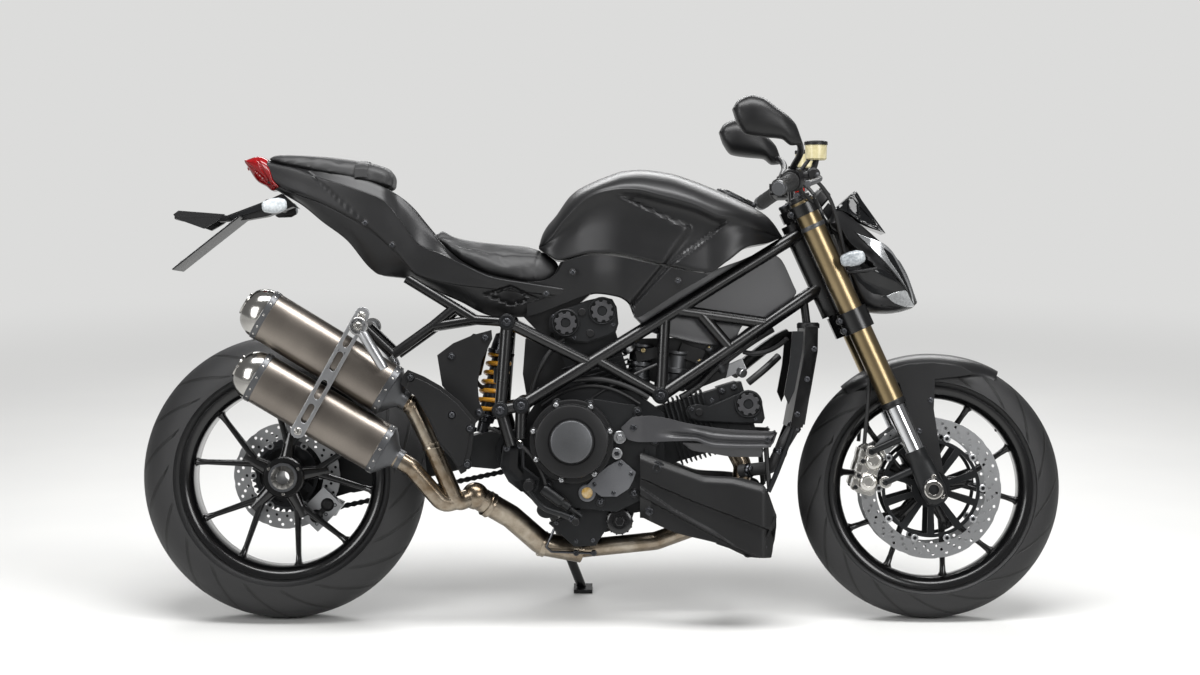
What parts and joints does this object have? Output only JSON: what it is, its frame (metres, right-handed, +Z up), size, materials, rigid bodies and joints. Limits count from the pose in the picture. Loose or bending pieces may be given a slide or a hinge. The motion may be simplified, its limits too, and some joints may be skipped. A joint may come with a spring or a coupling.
{
  "type": "standard motorcycle",
  "caption": "Unfaired roadster motorcycle on its side stand: trellis frame, V-twin, upside-down fork, single-sided swingarm and stacked silencers.",
  "frame": {"origin": "centre of the base rectangle, at floor level under the leaning machine", "axes": "+X forwards, +Y to the rider's left, +Z up; the machine leans 9.5 degrees to the left on its side stand"},
  "size_m": [2.0989, 0.8946, 1.2267],
  "materials": {
    "black_plastic": "matt",
    "chrome_tube": "polished",
    "clear_glass": "clear",
    "dark_alloy": "cast",
    "fluid_pot": "translucent",
    "frame_black": "satin",
    "gold_fork": "satin",
    "grey_alloy": "cast",
    "grey_plastic": "matt",
    "grip_rubber": "ribbed",
    "header_steel": "heat tinted",
    "matt_black_paint": "matt",
    "red_lens": "clear red",
    "seat_cover": "grained",
    "silver_alloy": "satin",
    "steel_disc": "brushed",
    "titanium": "brushed",
    "tyre_rubber": "matt",
    "wheel_black": "gloss"
  },
  "bodies": {
    "chassis": {"airbox": "black_plastic", "belly_pan": "matt_black_paint", "belt_covers": "dark_alloy", "chain": "steel_disc", "clutch_cover": "dark_alloy", "crankcase": "grey_alloy", "duct_panels": "grey_plastic", "exhaust_pipes": "header_steel", "footrests": "frame_black", "frame": "frame_black", "front_cylinder": "grey_alloy", "heat_guard": "black_plastic", "left_cover": "grey_alloy", "oil_filter": "black_plastic", "pillion_footrests": "silver_alloy", "pillion_seat": "seat_cover", "plate_holder": "black_plastic", "radiator": "black_plastic", "radiator_hose": "black_plastic", "rear_caliper": "silver_alloy", "rear_cylinder": "grey_alloy", "rear_indicators": "clear_glass", "rider_seat": "seat_cover", "shock": "gold_fork", "side_panels": "matt_black_paint", "silencer_strap": "silver_alloy", "silencers": "titanium", "subframe": "frame_black", "swingarm": "dark_alloy", "tail_cowl": "matt_black_paint", "tail_light": "red_lens", "tank": "matt_black_paint"},
    "steering_head": {"bar_controls": "black_plastic", "flyscreen": "black_plastic", "fork_clamps": "dark_alloy", "fork_outers": "gold_fork", "fork_stanchions": "chrome_tube", "front_axle_lugs": "grey_alloy", "front_calipers": "silver_alloy", "front_indicators": "clear_glass", "front_mudguard": "matt_black_paint", "grips": "grip_rubber", "handlebar": "frame_black", "headlight_cowl": "matt_black_paint", "headlight_glass": "clear_glass", "instruments": "black_plastic", "mirrors": "black_plastic", "reservoirs": "fluid_pot"},
    "front_wheel": {"front_discs": "steel_disc", "front_rim": "wheel_black", "front_tyre": "tyre_rubber"},
    "rear_wheel": {"rear_axle": "silver_alloy", "rear_disc": "steel_disc", "rear_rim": "wheel_black", "rear_tyre": "tyre_rubber"},
    "stand": {"side_stand": "frame_black"},
    "filler_lid": {"fuel_cap": "dark_alloy"}
  },
  "joints": [
    {"name": "steering", "type": "hinge", "parent": "chassis", "child": "steering_head", "pos_m": [0.43791, -0.03432, 0.89804], "axis": [-0.4147, 0.1502, 0.8975], "range_deg": [-30, 30]},
    {"name": "front_wheel_spin", "type": "hinge", "parent": "steering_head", "child": "front_wheel", "pos_m": [0.7495, -0.13495, 0.29671], "axis": [0, 0.9863, -0.165], "continuous": true},
    {"name": "rear_wheel_spin", "type": "hinge", "parent": "chassis", "child": "rear_wheel", "pos_m": [-0.7255, -0.13091, 0.32082], "axis": [0, 0.9863, -0.165], "continuous": true},
    {"name": "side_stand_fold", "type": "hinge", "parent": "chassis", "child": "stand", "pos_m": [-0.1255, -0.0149, 0.23854], "axis": [0.0814, 0.9147, 0.3959], "range_deg": [0, 95]},
    {"name": "fuel_cap_lid", "type": "hinge", "parent": "chassis", "child": "filler_lid", "pos_m": [0.34998, -0.02825, 0.9343], "axis": [0, 0.9863, -0.165], "range_deg": [0, 95]}
  ]
}
